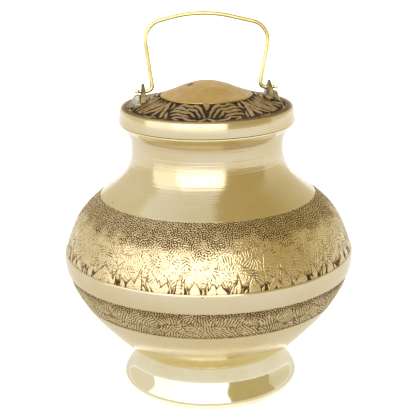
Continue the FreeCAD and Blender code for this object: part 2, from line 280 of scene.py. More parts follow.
def evened(waves, step, size):
    """Waves brought to the same height everywhere, so that every line is cut to one depth."""
    rows, columns = waves.shape
    fy = np.fft.fftfreq(rows, step)[:, None]
    fx = np.fft.rfftfreq(columns, step)[None, :]
    blur = np.exp(-(fx ** 2 + fy ** 2) * (2.5 * size) ** 2)
    power = np.fft.irfft2(np.fft.rfft2(waves ** 2) * blur, (rows, columns))
    return waves / np.sqrt(np.maximum(power, 0.03))


def grain_along(seed, rows, columns, step, pitch, direction, count=14):
    """Lines of one pitch that follow a direction field."""
    banks = np.stack([
        band_noise(seed, rows, columns, step, pitch, 0.22, math.pi * k / count, 0.24) for k in range(count)
    ])
    place = (direction % math.pi) / math.pi * count
    low = np.floor(place).astype(int)
    share = place - low
    row, column = np.indices((rows, columns))
    near = banks[low % count, row, column]
    far = banks[(low + 1) % count, row, column]
    mixed = (near * (1 - share) + far * share) / np.sqrt((1 - share) ** 2 + share ** 2)
    return evened(mixed, step, pitch)


def swirl_field(seed, rows, columns, step, size):
    """Large soft swirls: their sign, the way their outlines run, and the distance to an outline."""
    swirl = band_noise(seed, rows, columns, step, size, 0.35)
    down, across = np.gradient(swirl, step)
    distance = np.abs(swirl) / np.maximum(np.hypot(down, across), 0.02)
    return swirl, np.arctan2(down, across) + math.pi / 2, distance


def patches(seed, x, y, width, height, size):
    """Uneven patches round scattered centres: index, distance across from the centre and to the border."""
    rng = default_rng(seed)
    across, down = max(3, round(width / size)), max(1, round(height / size))
    centres = np.array([
        (
            (i + 0.5 * (j % 2) + rng.uniform(0.1, 0.9)) * width / across,
            (j + rng.uniform(0.15, 0.85)) * height / down,
        )
        for j in range(down) for i in range(across)
    ])
    best = np.full(x.shape, 1e9)
    second = best.copy()
    index = np.zeros(x.shape, int)
    for k, (cx, cy) in enumerate(centres):
        distance = np.hypot((x - cx + width / 2) % width - width / 2, y - cy)
        closer = distance < best
        second = np.where(closer, best, np.minimum(second, distance))
        best = np.where(closer, distance, best)
        index = np.where(closer, k, index)
    dx = (x - centres[index, 0] + width / 2) % width - width / 2
    return index, dx, second - best, rng


def petals(x, y, width, seed, size, tall):
    """Upright pointed forms of uneven size along the lower edge: how far inside a form a point lies."""
    rng = default_rng(seed)
    count = round(width / size)
    inside = np.full(x.shape, -9.0)
    for k in range(count):
        centre = (k + rng.uniform(0.15, 0.85)) * width / count
        half = size * rng.uniform(0.2, 0.6)
        top = tall * rng.uniform(0.3, 1.0)
        lean = rng.uniform(-0.6, 0.6)
        bow = rng.uniform(-0.5, 0.5) * half
        near = np.abs((x[0] - centre + width / 2) % width - width / 2) < half + 0.8 * tall
        px, py = x[:, near], y[:, near]
        t = np.clip(py / top, 0, 1)
        dx = np.abs((px - centre - lean * py - bow * np.sin(math.pi * t) + width / 2) % width - width / 2)
        edge = half * (1 - t ** 1.6) * (0.72 + 0.28 * np.sin(math.pi * np.clip(t * 1.3, 0, 1)))
        inside[:, near] = np.maximum(inside[:, near], np.where(py < top, edge - dx, -9.0))
    return inside


def band_grid(width, height, rows, columns):
    y = np.repeat(np.linspace(0, height, rows)[:, None], columns, 1)
    x = np.repeat(np.linspace(0, width, columns, endpoint=False)[None, :], rows, 0)
    return x, y, height / (rows - 1)


def upper_relief(width, height, rows, columns):
    """Fine stipple above, flowing lines round soft swirls in the middle, flames along the lower edge."""
    x, y, step = band_grid(width, height, rows, columns)
    wobble = soft_noise(11, rows, columns, step, 9.0)
    swirl, along, outline = swirl_field(22, rows, columns, step, 19.0)
    direction = np.where(swirl > 0, along + 0.16 * math.pi, along + 0.44 * math.pi)
    lines = grain_along(31, rows, columns, step, 1.22, direction + 0.2 * wobble)
    maze = evened(band_noise(41, rows, columns, step, 1.12, 0.4), step, 1.1)
    above = smoothstep(0.42, 0.76, y / height + 0.05 * wobble)
    force = 0.5 + 0.4 * smoothstep(-0.8, 0.8, soft_noise(23, rows, columns, step, 4.0))
    fine = lines * np.sqrt(1 - above) + maze * np.sqrt(above)
    surface = smoothstep(-1.15 + 0.9 * above, -0.5 + 0.85 * above, fine)
    surface = 1 - (1 - surface) * np.maximum(force, above)
    surface = surface * (1 - 0.55 * np.exp(-(outline / 0.2) ** 2) * (1 - above))
    leaf = np.maximum(petals(x, y, width, 51, 6.4, 13.0), petals(x, y, width, 52, 3.1, 7.5))
    grass = smoothstep(0.0, 0.25, petals(x, y, width, 53, 1.35, 6.5))
    inside = smoothstep(0.1, 0.45, leaf)
    low = 1 - smoothstep(1.5, 6.0, y + 0.9 * wobble)
    ground = np.maximum(0.8 * grass, surface * (0.2 + 0.35 * (y > 3.0)))
    bottom = inside * (0.8 + 0.2 * surface) + (1 - inside) * ground
    surface = surface * (1 - low) + bottom * low
    surface = surface * (1 - 0.85 * np.exp(-(leaf / 0.22) ** 2) * smoothstep(11.0, 8.0, y))
    stain = 0.10 + 0.28 * above + 0.45 * (1 - smoothstep(0.0, 5.0, y)) + 0.03 * wobble
    return surface, stain


def lower_relief(width, height, rows, columns):
    """Slanting leaf veins inside large curved leaf outlines, darker and finer along both edges."""
    x, y, step = band_grid(width, height, rows, columns)
    sway = soft_noise(62, rows, columns, step, 8.0)
    index, dx, gap, rng = patches(63, x + 1.8 * sway + 0.8 * y, y * 1.1, width, height * 1.1, 10.0)
    count = index.max() + 1
    side = np.where(rng.uniform(0, 1, count) < 0.5, 1.0, -1.0)[index]
    slant = rng.uniform(0.9, 1.35, count)[index]
    direction = side * slant + 0.05 * dx * side + 0.3 * sway
    veins = grain_along(64, rows, columns, step, 1.3, direction)
    maze = evened(band_noise(65, rows, columns, step, 1.15, 0.35), step, 1.2)
    foot = 1 - smoothstep(0.04, 0.16, y / height)
    head = smoothstep(0.66, 0.9, y / height + 0.05 * sway)
    edge = np.maximum(foot, head)
    waves = veins * np.sqrt(1 - edge) + maze * np.sqrt(edge)
    surface = smoothstep(-0.85 + 0.6 * edge, -0.15 + 0.7 * edge, waves)
    surface = surface * (1 - 0.8 * np.exp(-((gap - 0.3) / 0.3) ** 2) * (1 - edge))
    surface = np.maximum(surface, 1 - smoothstep(0.15, 0.45, y))
    return surface, 0.34 + 0.42 * head + 0.3 * foot


def engraved_band(name, knots, low, high, relief, strips, slot):
    """An engraved band between two heights, in strips one above the other."""
    length = np.hypot(*np.diff(stretch_of(knots, low, high, 200), axis=0).T).sum()
    rows = strips * round(length / RELIEF_ROW / strips) + 1
    profile = stretch_of(knots, low, high, rows)
    width = 2 * math.pi * profile[:, 0].mean() / MM
    surface, stain = relief(width, length / MM, rows, ENGRAVED_COLUMNS)
    depth = (1 - surface) * RELIEF_DEPTH
    normal = outward(profile)
    radius = profile[:, :1] - normal[:, :1] * depth
    height = profile[:, 1:] - normal[:, 1:] * depth
    recess = (1 - surface) * 0.75 + stain * 0.4
    inner = offset(profile, -WALL)
    share = (rows - 1) // strips
    for k in range(strips):
        a, b = k * share, (k + 1) * share + 1
        back = inner[a:b][::-1][:: share // 4]
        back_r, back_z = round_all(back, ENGRAVED_COLUMNS)
        turned(
            f"{name}_{k + 1}", np.vstack([radius[a:b], back_r]), np.vstack([height[a:b], back_z]),
            "pot", slot, recess=np.vstack([recess[a:b], np.zeros(back_r.shape)]), sharp=85,
        )


# ---- materials ----
class Surface:
    """A material's node tree, with short calls for the nodes used here."""

    def __init__(self, name, **shader):
        self.material = bpy.data.materials.new(name)
        self.material.use_nodes = True
        self.tree = self.material.node_tree
        self.shader = self.tree.nodes["Principled BSDF"]
        for socket, value in shader.items():
            self.shader.inputs[socket.replace("_", " ")].default_value = value
        self.coordinates = self.node("ShaderNodeTexCoord").outputs["Object"]

    def node(self, kind, inputs=(), **settings):
        made = self.tree.nodes.new(kind)
        for key, value in settings.items():
            setattr(made, key, value)
        for key, value in dict(inputs).items():
            if isinstance(value, bpy.types.NodeSocket):
                self.tree.links.new(value, made.inputs[key])
            else:
                made.inputs[key].default_value = value
        return made

    def noise(self, scale, stretch=(1, 1, 1), detail=3.0, rough=0.55):
        where = self.node("ShaderNodeMapping", {"Vector": self.coordinates, "Scale": stretch}).outputs[0]
        inputs = {"Vector": where, "Scale": scale, "Detail": detail, "Roughness": rough}
        return self.node("ShaderNodeTexNoise", inputs).outputs["Fac"]

    def remap(self, value, low, high, to_low=0.0, to_high=1.0):
        inputs = {"Value": value, 1: low, 2: high, 3: to_low, 4: to_high}
        return self.node("ShaderNodeMapRange", inputs).outputs[0]

    def math(self, operation, a, b=0.0):
        return self.node("ShaderNodeMath", {0: a, 1: b}, operation=operation).outputs[0]

    def mix(self, share, a, b):
        made = self.node("ShaderNodeMix", data_type="RGBA")
        for key, value in ((0, share), (6, a), (7, b)):
            if isinstance(value, bpy.types.NodeSocket):
                self.tree.links.new(value, made.inputs[key])
            else:
                made.inputs[key].default_value = value
        return made.outputs[2]

    def bump(self, height, distance, strength=1.0, under=None):
        inputs = {"Height": height, "Distance": distance, "Strength": strength}
        if under is not None:
            inputs["Normal"] = under
        return self.node("ShaderNodeBump", inputs).outputs[0]

    def attribute(self, name):
        return self.node("ShaderNodeAttribute", attribute_name=name).outputs["Fac"]

    def pits(self, scale, rarity, size):
        """Scattered small casting pits: 1 inside a pit."""
        made = self.node("ShaderNodeTexVoronoi", {"Vector": self.coordinates, "Scale": scale})
        inside = self.remap(made.outputs["Distance"], size, size * 0.4)
        chosen = self.node("ShaderNodeSeparateColor", {0: made.outputs["Color"]}).outputs[0]
        return self.math("MULTIPLY", inside, self.math("LESS_THAN", chosen, rarity))

    def finish(self, **sockets):
        for socket, value in sockets.items():
            self.tree.links.new(value, self.shader.inputs[socket.replace("_", " ")])
        return self.material


BRIGHT = (0.69, 0.595, 0.40, 1)      # polished brass
WARM = (0.65, 0.525, 0.29, 1)        # brass with a thin film of tarnish
PATINA = (0.075, 0.045, 0.022, 1)   # dark fill left in the recesses


def tangent_of(surface):
    return surface.node("ShaderNodeTangent", direction_type="RADIAL", axis="Z").outputs[0]


def turned_brass(name, roughness, line_depth, ring_depth, anisotropic):
    """Brass turned and buffed on a lathe: fine level lines, soft clouds of tarnish, a few pits."""
    s = Surface(name, Metallic=1.0, Anisotropic=anisotropic, Anisotropic_Rotation=0.25)
    lines = s.noise(900.0, (0.02, 0.02, 2.2), 2.0, 0.6)
    rings = s.noise(900.0, (0.012, 0.012, 0.9), 3.0, 0.6)
    clouds = s.noise(26.0, (1, 1, 1.6), 4.0, 0.6)
    smears = s.noise(120.0, (0.25, 0.25, 1.0), 3.0, 0.6)
    pits = s.pits(260.0, 0.015, 0.16)
    colour = s.mix(s.remap(clouds, 0.42, 0.72), BRIGHT, WARM)
    colour = s.mix(pits, colour, (0.28, 0.16, 0.06, 1))
    worn = s.remap(smears, 0.3, 0.7, roughness * 0.8, roughness * 1.25)
    rough = s.math("ADD", worn, s.math("MULTIPLY", pits, 0.3))
    normal = s.bump(rings, ring_depth, 1.0, s.bump(lines, line_depth))
    normal = s.bump(s.math("SUBTRACT", 1.0, pits), 0.12 * MM, 1.0, normal)
    return s.finish(Base_Color=colour, Roughness=rough, Normal=normal, Tangent=tangent_of(s))


def mirror_brass(name, clear, hazy, fade=None):
    """Mirror-polished brass, faintly hazed; fade gives the two heights between which it turns satin and its
    colour goes over to BRIGHT.
    """
    s = Surface(name, Metallic=1.0)
    haze = s.noise(60.0, (1, 1, 1), 4.0, 0.6)
    hair = s.noise(1500.0, (0.03, 0.03, 1.5), 2.0, 0.5)
    colour = s.mix(s.remap(haze, 0.45, 0.75), clear, hazy)
    rough = s.remap(haze, 0.3, 0.7, 0.05, 0.11)
    if fade is not None:
        height = s.node("ShaderNodeSeparateXYZ", {0: s.coordinates}).outputs["Z"]
        satin = s.remap(height, *fade)
        # Colour goes over to BRIGHT with height: on the underside the deeper yellow below is painted
        # reflection of the brass foot.
        colour = s.mix(satin, colour, BRIGHT)
        rough = s.math("ADD", rough, s.math("MULTIPLY", satin, 0.09))
    normal = s.bump(hair, 0.0006 * MM)
    return s.finish(Base_Color=colour, Roughness=rough, Normal=normal)


def engraved_brass(name, top, lift, roughness, fill=PATINA):
    """Engraved brass: bright on the tops, brown to black in the cuts."""
    s = Surface(name, Metallic=1.0)
    recess = s.attribute("recess")
    mottled = s.noise(420.0, (1, 1, 1), 3.0, 0.6)
    clouds = s.noise(40.0, (1, 1, 1), 3.0, 0.6)
    depth = s.math("ADD", recess, s.remap(mottled, 0.3, 0.7, -0.09, 0.09))
    depth = s.math("ADD", depth, s.remap(clouds, 0.3, 0.7, -0.07, 0.07))
    film = s.mix(s.remap(depth, lift, lift + 0.34), top, (0.47, 0.31, 0.13, 1))
    colour = s.mix(s.remap(depth, lift + 0.24, lift + 0.62), film, fill)
    rough = s.remap(depth, lift, lift + 0.6, roughness, 0.6)
    normal = s.bump(s.noise(2600.0, (1, 1, 1), 2.0, 0.5), 0.012 * MM)
    return s.finish(Base_Color=colour, Roughness=rough, Normal=normal)


def cast_metal(name, bright, dark, roughness, grain, depth, flaw=None):
    """Left as cast or soldered: mottled and uneven; maybe one dark casting flaw."""
    s = Surface(name, Metallic=1.0)
    mottled = s.noise(grain, (1, 1, 1), 5.0, 0.65)
    fine = s.noise(grain * 5, (1, 1, 1), 2.0, 0.5)
    colour = s.mix(s.remap(mottled, 0.36, 0.66), bright, dark)
    if flaw is not None:
        ends = {0: s.coordinates, 1: flaw}
        away = s.node("ShaderNodeVectorMath", ends, operation="DISTANCE").outputs["Value"]
        uneven = s.math("ADD", away, s.remap(s.noise(900.0), 0.3, 0.7, -0.5 * MM, 0.5 * MM))
        colour = s.mix(s.remap(uneven, 2.0 * MM, 1.4 * MM), colour, (0.03, 0.018, 0.01, 1))
    rough = s.remap(fine, 0.3, 0.7, roughness * 0.75, roughness * 1.3)
    normal = s.bump(fine, depth * 0.4, 1.0, s.bump(mottled, depth))
    return s.finish(Base_Color=colour, Roughness=rough, Normal=normal)


def rubber(name):
    s = Surface(name, Metallic=0.0)
    grain = s.noise(1800.0, (1, 1, 1), 3.0, 0.6)
    dust = s.noise(90.0, (1, 1, 1), 3.0, 0.6)
    colour = s.mix(s.remap(dust, 0.4, 0.7), (0.022, 0.020, 0.018, 1), (0.05, 0.046, 0.042, 1))
    return s.finish(
        Base_Color=colour, Roughness=s.remap(grain, 0.3, 0.7, 0.55, 0.8), Normal=s.bump(grain, 0.03 * MM)
    )


MATERIALS = {
    "satin": turned_brass("satin_turned_brass", 0.17, 0.0022 * MM, 0.05 * MM, 0.35),
    "neck": turned_brass("lined_neck_brass", 0.14, 0.0030 * MM, 0.20 * MM, 0.3),
    "mirror": mirror_brass("mirror_polished_brass", (0.81, 0.76, 0.60, 1), (0.76, 0.69, 0.48, 1)),
    "gold": mirror_brass("deep_yellow_brass", (0.88, 0.79, 0.48, 1), (0.82, 0.70, 0.38, 1)),
    # Real mirror polish; the deeper yellow low on the bowl is painted reflection of the brass foot, fading to
    # BRIGHT between the two heights.
    "underside": mirror_brass(
        "underside_brass_painted_reflection", (0.82, 0.69, 0.32, 1), (0.75, 0.60, 0.24, 1), (UNDERSIDE_FADE, UNDERSIDE_TOP),
    ),
    "rim": turned_brass("brushed_lid_brass", 0.15, 0.0040 * MM, 0.05 * MM, 0.5),
    "upper": engraved_brass("engraved_shoulder_brass", (0.70, 0.59, 0.36, 1), 0.14, 0.18),
    "lower": engraved_brass("engraved_bowl_brass", (0.62, 0.52, 0.30, 1), 0.20, 0.24),
    "ornament": engraved_brass(
        "antiqued_lid_brass", (0.36, 0.25, 0.115, 1), 0.12, 0.36, (0.035, 0.025, 0.016, 1),
    ),
    "dome": cast_metal(
        "dome_brass", (0.54, 0.365, 0.125, 1), (0.47, 0.31, 0.10, 1), 0.40, 60.0, 0.004 * MM,
        (-8.3 * MM, -2.6 * MM, 159.4 * MM),
    ),
    "lug": cast_metal(
        "dark_lug_brass", (0.25, 0.19, 0.09, 1), (0.03, 0.022, 0.012, 1), 0.2, 240.0, 0.06 * MM,
    ),
    "solder": cast_metal(
        "silver_grey_solder", (0.52, 0.49, 0.38, 1), (0.17, 0.145, 0.08, 1), 0.32, 260.0, 0.08 * MM,
    ),
    "wire": cast_metal(
        "drawn_brass_wire", (0.84, 0.74, 0.34, 1), (0.72, 0.60, 0.24, 1), 0.2, 160.0, 0.006 * MM,
    ),
    "rubber": rubber("black_rubber"),
}


# ---- the pot ----
def make_bowl(knots):
    """Plain bowl below the lower engraved band, and its polished underside above the foot, deeper yellow low
    down as painted reflection of the foot.
    """
    outer = faired(knots)
    wall = stretch_of(knots, UNDERSIDE_TOP, BAND_LOW - LOWER_BAND_HEIGHT, 60)
    plain_ring("bowl", np.vstack([wall, offset(wall, -WALL)[::-1]]), "pot", ("polished_brass", "satin"))
    rim = [np.interp(UNDERSIDE_TOP, outer[:, 1], outer[:, 0]), UNDERSIDE_TOP]
    outer = evenly(np.vstack([outer[outer[:, 1] < UNDERSIDE_TOP - 1e-6], rim]), 50)
    outer[0, 0] = 0.0
    inner = offset(outer, -WALL)[::-1]
    inner[-1, 0] = 0.0
    shell = np.vstack([outer, inner])
    plain_ring("underside", shell, "pot", ("polished_brass", "underside"), ("vessel_lower",), poles=True)


def make_belly_band():
    """Plain raised band round the belly, its two edges slightly eased."""
    knots = outline_knots("vessel_upper")
    outer = stretch_of(knots[knots[:, 1] < BAND_HIGH + 1e-5], BAND_LOW, BAND_HIGH, 26)
    ease = 0.3 * BELLY_BAND_EASE
    corner = np.array([(-BELLY_BAND_LIP, 0), (-BELLY_BAND_EASE, 0), (-ease, ease)])
    below = outer[0] + corner
    above = (outer[-1] + corner * (1, -1))[::-1]
    rounded = np.vstack([below, outer[2:-2], above])
    inner = outer[[-1, 0]] - (2 * WALL, 0)
    plain_ring("belly_band", np.vstack([rounded, inner]), "pot", ("polished_brass", "satin"))


def make_neck(knots):
    """Plain shoulder and neck above the upper engraved band, with a lip over the engraving."""
    outer = stretch_of(knots, BAND_HIGH + UPPER_BAND_HEIGHT, NECK_TOP, 90)
    first = outer[0] - outward(outer)[0] * 0.5 * MM
    outer[0] -= outward(outer)[0] * 0.08 * MM
    inner = offset(outer, -WALL)[::-1]
    plain_ring("neck", np.vstack([first, outer, inner]), "pot", ("polished_brass", "neck"), ("vessel_upper",))


def make_foot():
    outer = stretch_of(outline_knots("foot_ring"), 0.0, FOOT_TOP, 90)
    inside = outline_knots("foot_ring", outer=False)
    plain_ring("foot", np.vstack([outer, inside[::-1]]), "pot", ("mirror_brass", "mirror"), ("foot_ring",))


def copy_of(node, name, voxel=None, smooth=0):
    """A CAD node's mesh as a new mesh, optionally rounded over like cast or soldered metal."""
    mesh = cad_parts[node].data.copy()
    mesh.name = name
    mesh.materials.clear()
    if voxel is None:
        return mesh
    helper = bpy.data.objects.new(name + "_helper", mesh)
    bpy.context.scene.collection.objects.link(helper)
    remesh = helper.modifiers.new("remesh", "REMESH")
    remesh.mode = "VOXEL"
    remesh.voxel_size = voxel
    rounding = helper.modifiers.new("rounding", "SMOOTH")
    rounding.iterations = smooth
    evaluated = helper.evaluated_get(bpy.context.evaluated_depsgraph_get())
    made = bpy.data.meshes.new_from_object(evaluated)
    bpy.data.objects.remove(helper)
    made.name = name
    made.materials.clear()
    return made


def make_collar():
    mesh = copy_of("mouth_collar", "collar")
    placed("collar", mesh, "pot", ("mirror_brass", "gold"), ("mouth_collar",), 25)


# ---- the lid ----
def stroke(u, v, points, widths):
    """A raised stroke along a bent line: 1 on it, 0 off it. Widths run evenly from its start to its end."""
    points = np.array(points, float)
    bent = spline_through(points, 26) if len(points) > 2 else np.linspace(points[0], points[1], 14)
    half = np.interp(np.linspace(0, 1, len(bent)), np.linspace(0, 1, len(widths)), widths) / 2
    over = np.full(u.shape, -1e9)
    for (px, py), w in zip(bent, half):
        over = np.maximum(over, w - np.hypot(u - px, v - py))
    return smoothstep(-0.1, 0.35, over)


# One half of a repeat of the lid's ornament: strokes as points (along the lid, inwards) and their widths.
FAN = [
    ([(0, 1.0), (0, 3.2), (0, 6.6)], (5.0, 2.4, 0.4)),
    ([(17.9, 3.4), (14.8, 2.0), (11.0, 2.9), (7.2, 2.6), (4.4, 4.2), (2.4, 8.0), (1.5, 13.0)],
     (0.9, 2.3, 1.7, 2.2, 1.9, 1.5, 1.0)),
    ([(19.0, 6.2), (15.8, 4.8), (12.0, 5.8), (8.6, 5.5), (6.0, 7.2), (4.2, 10.2), (3.2, 13.4)],
     (0.9, 2.4, 1.7, 2.1, 1.8, 1.4, 0.8)),
    ([(18.7, 9.4), (15.8, 7.8), (12.4, 8.6), (9.6, 8.5), (7.4, 10.0), (5.6, 12.6)],
     (0.9, 2.3, 1.7, 2.0, 1.6, 0.8)),
    ([(17.2, 12.2), (14.8, 10.8), (12.0, 11.3), (9.8, 12.0), (8.2, 13.6)], (0.9, 2.1, 1.8, 1.7, 0.8)),
    ([(3.4, 16.9), (6.6, 16.6), (9.4, 15.0), (12.6, 13.9), (14.9, 15.2), (12.6, 16.8)],
     (0.8, 1.8, 1.9, 1.7, 1.5, 1.0)),
    ([(0.7, 14.4), (2.4, 17.2)], (0.8, 2.3)),
]
LEAF = [
    ([(26.2, 1.4), (24.7, 5.6), (22.9, 10.2), (21.0, 15.2)], (1.3, 2.6, 2.4, 1.3)),
    ([(26.2, 1.4), (27.7, 5.6), (29.3, 10.2), (31.2, 15.2)], (1.3, 2.6, 2.4, 1.3)),
    ([(26.1, 7.2), (26.1, 10.6), (26.1, 14.8)], (0.6, 2.3, 1.5)),
    ([(22.6, 1.8), (21.2, 4.0), (21.4, 6.6)], (0.9, 1.9, 0.9)),
    ([(20.2, 10.4), (19.4, 12.6), (18.0, 15.6)], (0.8, 1.8, 1.2)),
    ([(23.4, 16.6), (26.2, 17.2), (29.0, 16.6)], (0.9, 1.3, 0.9)),
    ([(35.2, 1.8), (35.2, 7.0), (35.2, 12.6)], (1.0, 3.0, 1.2)),
    ([(34.2, 15.6), (33.0, 10.4), (31.6, 6.0), (29.6, 2.6)], (1.5, 1.9, 1.8, 0.9)),
    ([(33.6, 6.2), (32.6, 3.8), (32.4, 1.6)], (0.9, 1.5, 0.9)),
]
LID_REPEATS = 3


def lid_relief(width, height, rows, columns):
    """Leaf scrolls repeated round the lid, between the dome's groove and two thin rings at the rim."""
    sector = columns // LID_REPEATS
    half = width / LID_REPEATS / 2
    v = np.repeat(np.linspace(0, height, rows)[:, None], sector, 1)
    u = np.abs(np.linspace(-half, half, sector, endpoint=False))[None, :] + np.zeros((rows, 1))
    step = height / (rows - 1)
    bend_u, bend_v = (0.24 * soft_noise(seed, rows, sector, step, 4.5) for seed in (83, 84))
    form = np.zeros(u.shape)
    for points, widths in FAN + LEAF:
        form = np.maximum(form, stroke(u + bend_u, v + bend_v, points, widths))
    form = np.tile(form, (1, LID_REPEATS))
    v = np.tile(v, (1, LID_REPEATS))
    x = np.linspace(0, width, columns, endpoint=False)[None, :] + np.zeros((rows, 1))
    ground = smoothstep(-0.4, 0.8, band_noise(81, rows, columns, step, 1.1, 0.3)) * 0.3
    ticks = smoothstep(0.1, 0.6, np.sin(x * 2 * math.pi / 1.05))
    ticks = ticks * smoothstep(17.4, 17.7, v) * smoothstep(18.8, 18.5, v)
    rings = np.exp(-((v - height + 1.75) / 0.22) ** 2) + np.exp(-((v - height + 0.9) / 0.25) ** 2)
    rings = rings + smoothstep(height - 0.45, height - 0.2, v)
    surface = np.clip(np.maximum.reduce([form, ground, 0.75 * ticks, rings]), 0, 1)
    grain = band_noise(82, rows, columns, step, 0.8, 0.4)
    surface = surface - 0.06 * smoothstep(0.6, 1.6, grain) * (form > 0.5)
    return surface


def make_lid():
    """Blackened scrollwork ring, plain dome and brushed rim over the lid's own body."""
    knots = outline_knots("lid")
    rim_z = LID_TOP - LID_EDGE_DROP
    top = knots[knots[:, 1] > rim_z - 0.02 * MM]
    top = faired(top)
    edge_r = top[0, 0]
    ring = top[top[:, 0] > DOME_RADIUS][::-1]
    length = np.hypot(*np.diff(ring, axis=0).T).sum()
    rows = round(length / LID_RELIEF_ROW)
    ring = evenly(ring, rows)
    columns = LID_COLUMNS
    surface = lid_relief(2 * math.pi * ring[:, 0].mean() / MM, length / MM, rows, columns)
    turns = (CAMERA_AZIMUTH - math.pi / 2) / (2 * math.pi)
    turn_to_front = round(turns * columns + columns / LID_REPEATS / 2)
    surface = np.roll(surface, turn_to_front, 1)[::-1]
    profile = ring[::-1]
    depth = (1 - surface) * LID_RELIEF_DEPTH
    normal = outward(profile)
    radius = profile[:, :1] - normal[:, :1] * depth
    height = profile[:, 1:] - normal[:, 1:] * depth
    under = offset(profile, -LID_SHELL)[::-1][::12]
    under_r, under_z = round_all(under, columns)
    recess = np.vstack([(1 - surface) * 0.95, np.zeros(under_r.shape)])
    turned(
        "lid_ornament", np.vstack([radius, under_r]), np.vstack([height, under_z]),
        "lid", ("antiqued_brass", "ornament"), recess=recess, sharp=85,
    )
    dome = top[top[:, 0] <= DOME_RADIUS]
    dome[-1, 0] = 0.0
    edge = dome[0]
    lip = np.array([edge + (-0.05 * MM, -0.9 * MM), edge + (0, -0.5 * MM), edge + (-0.12 * MM, -0.08 * MM)])
    dome = dome[dome[:, 0] < edge[0] - 0.35 * MM]
    picked = np.round(np.linspace(0, len(dome) - 1, 50)).astype(int)
    base = np.array([(0.0, edge[1] - 0.9 * MM)])
    plain_ring(
        "lid_dome", np.vstack([base, lip, dome[picked]]), "lid", ("antiqued_brass", "dome"), poles=True
    )
    skirt_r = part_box("lid")[1].x
    rim = np.array([
        (skirt_r - 1.4 * MM, LID_LOW + 0.05 * MM),
        (skirt_r - 0.35 * MM, LID_LOW),
        (skirt_r - 0.1 * MM, LID_LOW + 0.1 * MM),
        (skirt_r, LID_LOW + 0.4 * MM),
        (edge_r + 0.45 * MM, rim_z - 0.75 * MM),
        (edge_r + 0.36 * MM, rim_z - 0.35 * MM),
        (edge_r + 0.12 * MM, rim_z - 0.08 * MM),
        (edge_r - 0.25 * MM, rim_z + 0.02 * MM),
        (edge_r - 0.9 * MM, rim_z - 0.4 * MM),
        (edge_r - 0.9 * MM, rim_z - 1.5 * MM),
    ])
    plain_ring("lid_rim", rim, "lid", ("antiqued_brass", "rim"))
    body = copy_of("lid", "lid_body")
    co = np.array([v.co for v in body.vertices])
    r = np.hypot(co[:, 0], co[:, 1])
    outer_r = np.interp(co[:, 2], top[:, 1], top[:, 0])
    on_top = (co[:, 2] > rim_z - 0.4 * MM) & (np.abs(r - outer_r) < 0.5 * MM)
    on_top |= (co[:, 2] > LID_TOP - 0.5 * MM)
    co[on_top, 2] -= LID_BODY_DROP
    on_side = (r > 43.3 * MM) & (co[:, 2] < rim_z + 0.1 * MM)
    co[on_side, :2] *= ((r[on_side] - LID_BODY_INSET) / r[on_side])[:, None]
    co[on_side & (co[:, 2] < LID_LOW + 0.5 * MM), 2] += 0.1 * MM
    body.vertices.foreach_set("co", co.astype(np.float32).ravel())
    placed("lid_body", body, "lid", ("antiqued_brass", "rim"), ("lid",), 30)


def lumpy(mesh, seed, size, amount):
    """Uneven, melted-looking surface: every point moves along its normal by soft noise."""
    rng = default_rng(seed)
    co = np.array([v.co for v in mesh.vertices])
    normals = np.array([v.normal for v in mesh.vertices])
    shift = np.zeros(len(co))
    for k in range(5):
        direction = rng.normal(size=(3, 3))
        phase = co @ direction * (2 * math.pi / size / (1 + 0.5 * k)) + rng.uniform(0, 6.28, 3)
        shift += np.sin(phase).prod(1) / (1 + 0.4 * k)
    co = co + normals * (shift * amount)[:, None]
    mesh.vertices.foreach_set("co", co.astype(np.float32).ravel())
    mesh.update()


def make_lugs():
    for side in ("left", "right"):
        lug = copy_of(f"{side}_lug", f"{side}_ear", MELTED_VOXEL, 5)
        lumpy(lug, 5 if side == "left" else 6, 2.4 * MM, 0.03 * MM)
        placed(f"{side}_ear", lug, "lid", ("lug_brass", "lug"), (f"{side}_lug",), 180)
        fillet = copy_of(f"{side}_solder", f"{side}_fillet", MELTED_VOXEL, 9)
        lumpy(fillet, 7 if side == "left" else 8, 3.4 * MM, 0.06 * MM)
        placed(f"{side}_fillet", fillet, "lid", ("solder", "solder"), (f"{side}_solder",), 180)


def make_bail():
    wire = copy_of("bail", "bail_wire", WIRE_VOXEL, 6)
    placed("bail_wire", wire, "bail", ("brass_wire", "wire"), ("bail",), 180)


def paint_washer():
    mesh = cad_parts["seal_washer"].data
    for k in range(len(mesh.materials)):
        mesh.materials[k] = MATERIALS["rubber"]


lower_knots = outline_knots("vessel_lower")
lower_knots = lower_knots[lower_knots[:, 1] < BAND_LOW + 1e-5]
upper_knots = outline_knots("vessel_upper")
upper_knots = upper_knots[upper_knots[:, 1] > BAND_HIGH - 1e-5]
upper_knots[0, 0] = min(upper_knots[0, 0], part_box("vessel_upper")[1].x - 0.8 * MM)
make_bowl(lower_knots)
engraved_band(
    "lower_band", lower_knots, BAND_LOW - LOWER_BAND_HEIGHT, BAND_LOW,
    lower_relief, 2, ("polished_brass", "lower"),
)
make_belly_band()
engraved_band(
    "upper_band", upper_knots, BAND_HIGH, BAND_HIGH + UPPER_BAND_HEIGHT,
    upper_relief, 3, ("polished_brass", "upper"),
)
make_neck(upper_knots)
make_foot()
make_collar()
make_lid()
make_lugs()
make_bail()
paint_washer()


# ---- stage: pale floor, soft light, camera ----
AIM = Vector((0, 0, 92.57 * MM))
ELEVATION = math.radians(17.07)
DISTANCE = 574.1 * MM
ROLL = math.radians(-0.78)
SIDE_SHIFT = 0.96 * MM
LENS, SENSOR = 94.29, 36.0          # Blender's own millimetres
STUDIO_RADIUS = 1.5
TABLE_HEIGHT = 1.0 * MM             # of the card just above the floor
FLOOR_SIZE = 8.0
CARD_STEPS = 24


def facing(azimuth, elevation, distance, centre=AIM):
    """Point seen from the centre at an azimuth from the camera's side, to the right when positive."""
    turn = CAMERA_AZIMUTH + azimuth
    level = math.cos(elevation) * distance
    return centre + Vector((math.sin(turn) * level, -math.cos(turn) * level, math.sin(elevation) * distance))


